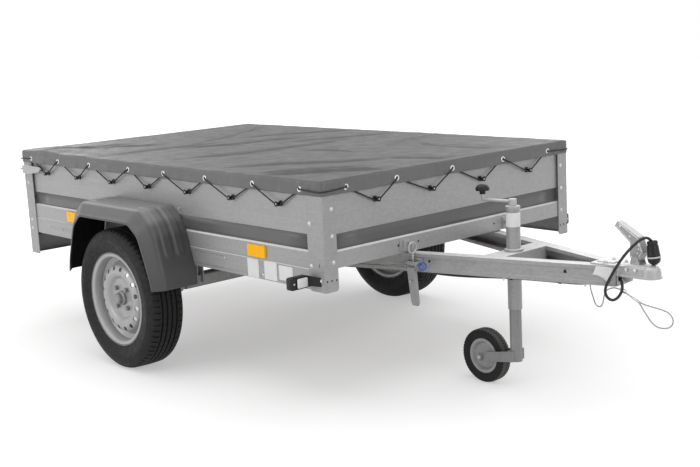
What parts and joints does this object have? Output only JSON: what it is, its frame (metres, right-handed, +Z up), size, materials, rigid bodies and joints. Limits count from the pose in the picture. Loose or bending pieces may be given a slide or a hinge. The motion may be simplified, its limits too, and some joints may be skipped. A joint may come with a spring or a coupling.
{
  "type": "utility trailer",
  "caption": "Single-axle tipping utility trailer with sheet-steel box, tied tarpaulin, V drawbar, ball coupling and jockey wheel.",
  "frame": {"origin": "on the ground, at mid length and mid width of the trailer", "axes": "+X towards the coupling (forward), +Y to the trailer's left, +Z up"},
  "size_m": [2.9537, 1.6, 0.7803],
  "materials": {
    "galvanised": "hot-dip galvanised, matt spangle",
    "zinc_bright": "bright zinc plated",
    "ply": "film-faced plywood",
    "tarp_cloth": "coated fabric, satin",
    "cord_black": "woven elastic",
    "black_plastic": "matt",
    "guard_plastic": "matt, fine grain",
    "orange_plastic": "gloss",
    "red_plastic": "gloss",
    "panel_dark": "satin",
    "tyre_rubber": "matt",
    "rim_silver": "satin silver",
    "solid_rubber": "matt",
    "steel_cable": "bare strand"
  },
  "bodies": {
    "chassis": {"drawbar_beams": "galvanised", "cross_member": "galvanised", "pivot_bosses": "galvanised", "axle_beam": "galvanised", "swing_arms": "galvanised", "jockey_outer_tube": "zinc_bright", "coupling_head": "zinc_bright", "front_latches": "zinc_bright", "plug": "black_plastic", "lead": "cord_black", "safety_cable": "steel_cable"},
    "box": {"side_panels": "galvanised", "front_panel": "galvanised", "front_posts": "galvanised", "rear_posts": "galvanised", "floor": "ply", "rear_sill": "galvanised", "floor_bearers": "galvanised", "lamp_panel": "panel_dark", "rear_lamps": "red_plastic", "tailgate_latches": "zinc_bright", "mudguards": "guard_plastic", "side_reflectors": "orange_plastic", "front_marker_lamps": "black_plastic", "tarpaulin": "tarp_cloth", "rear_skirt": "tarp_cloth", "tarp_hooks": "black_plastic", "tarp_cord": "cord_black", "rear_cord": "cord_black", "latch_eyes": "zinc_bright"},
    "tailgate": {"tailgate": "galvanised", "tailgate_hooks": "black_plastic"},
    "right_wheel": {"right_tyre": "tyre_rubber", "right_rim": "rim_silver", "right_hub": "zinc_bright"},
    "left_wheel": {"left_tyre": "tyre_rubber", "left_rim": "rim_silver", "left_hub": "zinc_bright"},
    "coupling_lever": {"coupling_handle": "zinc_bright"},
    "jockey_screw_nut": {"jockey_nut": "zinc_bright"},
    "jockey_leg": {"jockey_leg": "zinc_bright"},
    "jockey_wheel": {"jockey_tyre": "solid_rubber", "jockey_rim": "zinc_bright"},
    "jockey_crank": {"jockey_crank": "zinc_bright", "crank_knob": "black_plastic"}
  },
  "joints": [
    {"name": "box_tilt", "type": "hinge", "parent": "chassis", "child": "box", "pos_m": [-0.5135, 0, 0.455], "axis": [0, -1, 0], "range_deg": [0, 18]},
    {"name": "tailgate_hinge", "type": "hinge", "parent": "box", "child": "tailgate", "pos_m": [-1.4255, 0, 0.428], "axis": [0, -1, 0], "range_deg": [0, 175], "deforming": ["rear_skirt", "rear_cord"]},
    {"name": "right_wheel_spin", "type": "hinge", "parent": "chassis", "child": "right_wheel", "pos_m": [-0.4535, -0.711, 0.272], "axis": [0, 1, 0], "continuous": true},
    {"name": "left_wheel_spin", "type": "hinge", "parent": "chassis", "child": "left_wheel", "pos_m": [-0.4535, 0.711, 0.272], "axis": [0, 1, 0], "continuous": true},
    {"name": "coupling_lever", "type": "hinge", "parent": "chassis", "child": "coupling_lever", "pos_m": [1.3625, 0, 0.507], "axis": [0, 1, 0], "range_deg": [-32, 0]},
    {"name": "jockey_slide", "type": "slide", "parent": "chassis", "child": "jockey_screw_nut", "axis": [0, 0, 1], "range_m": [-0.06, 0.14]},
    {"name": "jockey_swivel", "type": "hinge", "parent": "jockey_screw_nut", "child": "jockey_leg", "pos_m": [0.8825, -0.016, 0.0955], "axis": [0, 0, 1], "continuous": true},
    {"name": "jockey_wheel_spin", "type": "hinge", "parent": "jockey_leg", "child": "jockey_wheel", "pos_m": [0.7465, -0.016, 0.0955], "axis": [0, 1, 0], "continuous": true},
    {"name": "jockey_crank_turn", "type": "hinge", "parent": "chassis", "child": "jockey_crank", "pos_m": [0.8825, -0.016, 0.645], "axis": [0, 0, 1], "continuous": true}
  ]
}
